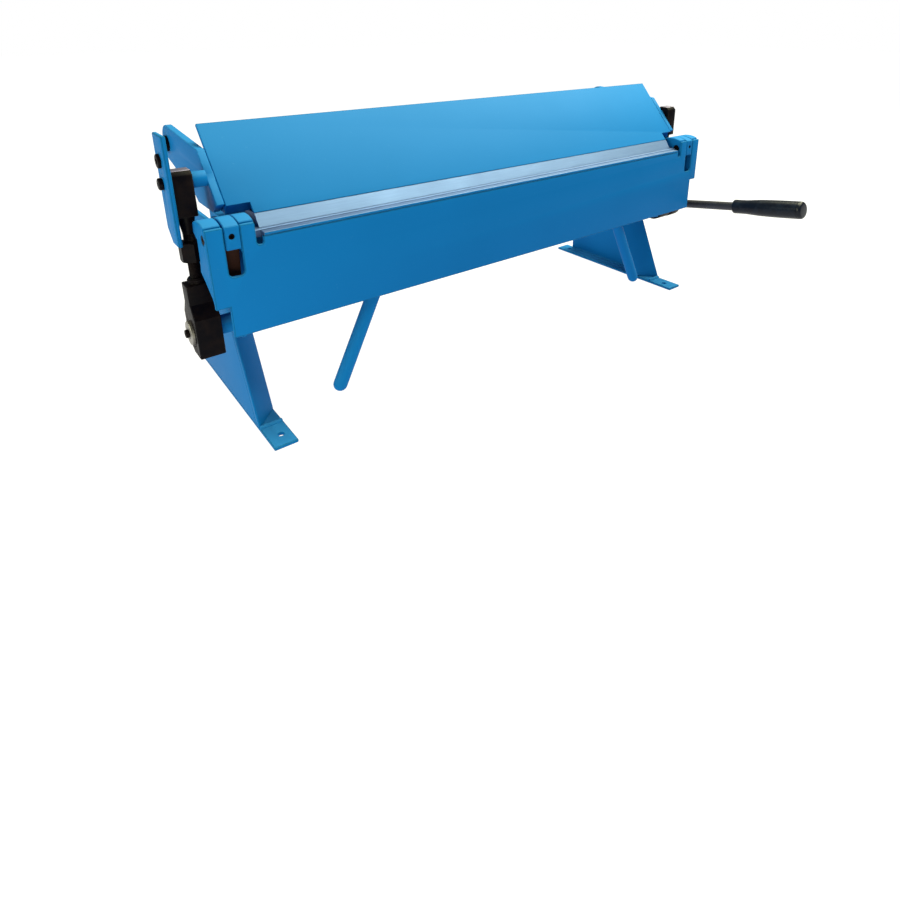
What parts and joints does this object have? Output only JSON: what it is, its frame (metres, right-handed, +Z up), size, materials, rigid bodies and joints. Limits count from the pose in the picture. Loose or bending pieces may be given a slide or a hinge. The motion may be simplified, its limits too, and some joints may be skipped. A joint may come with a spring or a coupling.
{
  "type": "bench sheet metal bending machine",
  "caption": "Bench sheet metal bending machine: splayed feet, hinged front apron with handles, sloping clamp beam and a clamp lever on an eccentric shaft.",
  "frame": {"origin": "middle of the box at rest, on the surface under the feet", "axes": "+X along the beam to the operator's right, +Y from the operator to the back, +Z up"},
  "size_m": [1.236, 0.6556, 0.5],
  "materials": {
    "blue_enamel": "semi-gloss sky-blue enamel on sheet steel",
    "ground_steel": "ground bare steel",
    "black_oxide": "black oxide on machined steel",
    "black_plastic": "satin black moulded plastic"
  },
  "bodies": {
    "frame": {"bed_blade": "ground_steel", "bed_beam": "blue_enamel", "rear_tie": "blue_enamel", "left_foot_plate": "blue_enamel", "left_side_plate": "blue_enamel", "left_leg_flange": "blue_enamel", "left_shaft_bush": "blue_enamel", "left_fixed_lug": "blue_enamel", "left_hinge_pin": "ground_steel", "left_set_screw": "black_oxide", "left_pivot_bolt": "black_oxide", "left_pivot_nut": "black_oxide", "right_foot_plate": "blue_enamel", "right_side_plate": "blue_enamel", "right_leg_flange": "blue_enamel", "right_shaft_bush": "blue_enamel", "right_fixed_lug": "blue_enamel", "right_hinge_pin": "ground_steel", "right_set_screw": "black_oxide", "right_pivot_bolt": "black_oxide", "right_pivot_nut": "black_oxide"},
    "apron": {"apron_plate": "blue_enamel", "bending_bar": "ground_steel", "apron_stiffener": "blue_enamel", "left_outer_lug": "blue_enamel", "left_inner_lug": "blue_enamel", "left_handle_socket": "blue_enamel", "left_bending_handle": "blue_enamel", "right_outer_lug": "blue_enamel", "right_inner_lug": "blue_enamel", "right_handle_socket": "blue_enamel", "right_bending_handle": "blue_enamel"},
    "clamp_beam": {"clamp_cover": "blue_enamel", "clamp_blade": "ground_steel", "clamp_base": "blue_enamel", "clamp_web": "blue_enamel", "left_clamp_arm": "blue_enamel", "left_link_pin": "black_oxide", "left_link_collar": "blue_enamel", "left_cheek": "blue_enamel", "left_cheek_bolt": "black_oxide", "right_clamp_arm": "blue_enamel", "right_link_pin": "black_oxide"},
    "clamp_shaft": {"clamp_shaft": "ground_steel", "left_eccentric": "black_oxide", "right_eccentric": "black_oxide", "left_shaft_washer": "ground_steel", "left_shaft_screw": "black_oxide", "lever_hub": "black_oxide", "lever_rod": "black_oxide", "lever_grip": "black_plastic"},
    "left_link": {"left_link_head": "black_oxide", "left_link_rod": "black_oxide", "left_link_nut": "black_oxide", "left_link_block": "black_oxide"},
    "right_link": {"right_link_head": "black_oxide", "right_link_rod": "black_oxide", "right_link_nut": "black_oxide", "right_link_block": "black_oxide"}
  },
  "joints": [
    {"name": "apron_hinge", "type": "hinge", "parent": "frame", "child": "apron", "pos_m": [-0.0067, -0.04017, 0.357], "axis": [-1, 0, 0], "range_deg": [0, 135]},
    {"name": "clamp_lever_turn", "type": "hinge", "parent": "frame", "child": "clamp_shaft", "pos_m": [-0.0067, 0.03583, 0.189], "axis": [-1, 0, 0], "range_deg": [0, 90]},
    {"name": "clamp_beam_hinge", "type": "hinge", "parent": "frame", "child": "clamp_beam", "pos_m": [-0.0067, 0.23983, 0.45], "axis": [-1, 0, 0], "range_deg": [0, 1.17]},
    {"name": "left_link_swing", "type": "hinge", "parent": "clamp_beam", "child": "left_link", "pos_m": [-0.5887, 0.03283, 0.428], "axis": [-1, 0, 0], "range_deg": [-1.26, 0]},
    {"name": "right_link_swing", "type": "hinge", "parent": "clamp_beam", "child": "right_link", "pos_m": [0.5546, 0.03283, 0.428], "axis": [-1, 0, 0], "range_deg": [-1.26, 0]}
  ],
  "couplings": [
    {"joint": "clamp_beam_hinge", "follows": "clamp_lever_turn", "ratio": 0.01295},
    {"joint": "left_link_swing", "follows": "clamp_lever_turn", "ratio": -0.0139},
    {"joint": "right_link_swing", "follows": "clamp_lever_turn", "ratio": -0.0139}
  ]
}
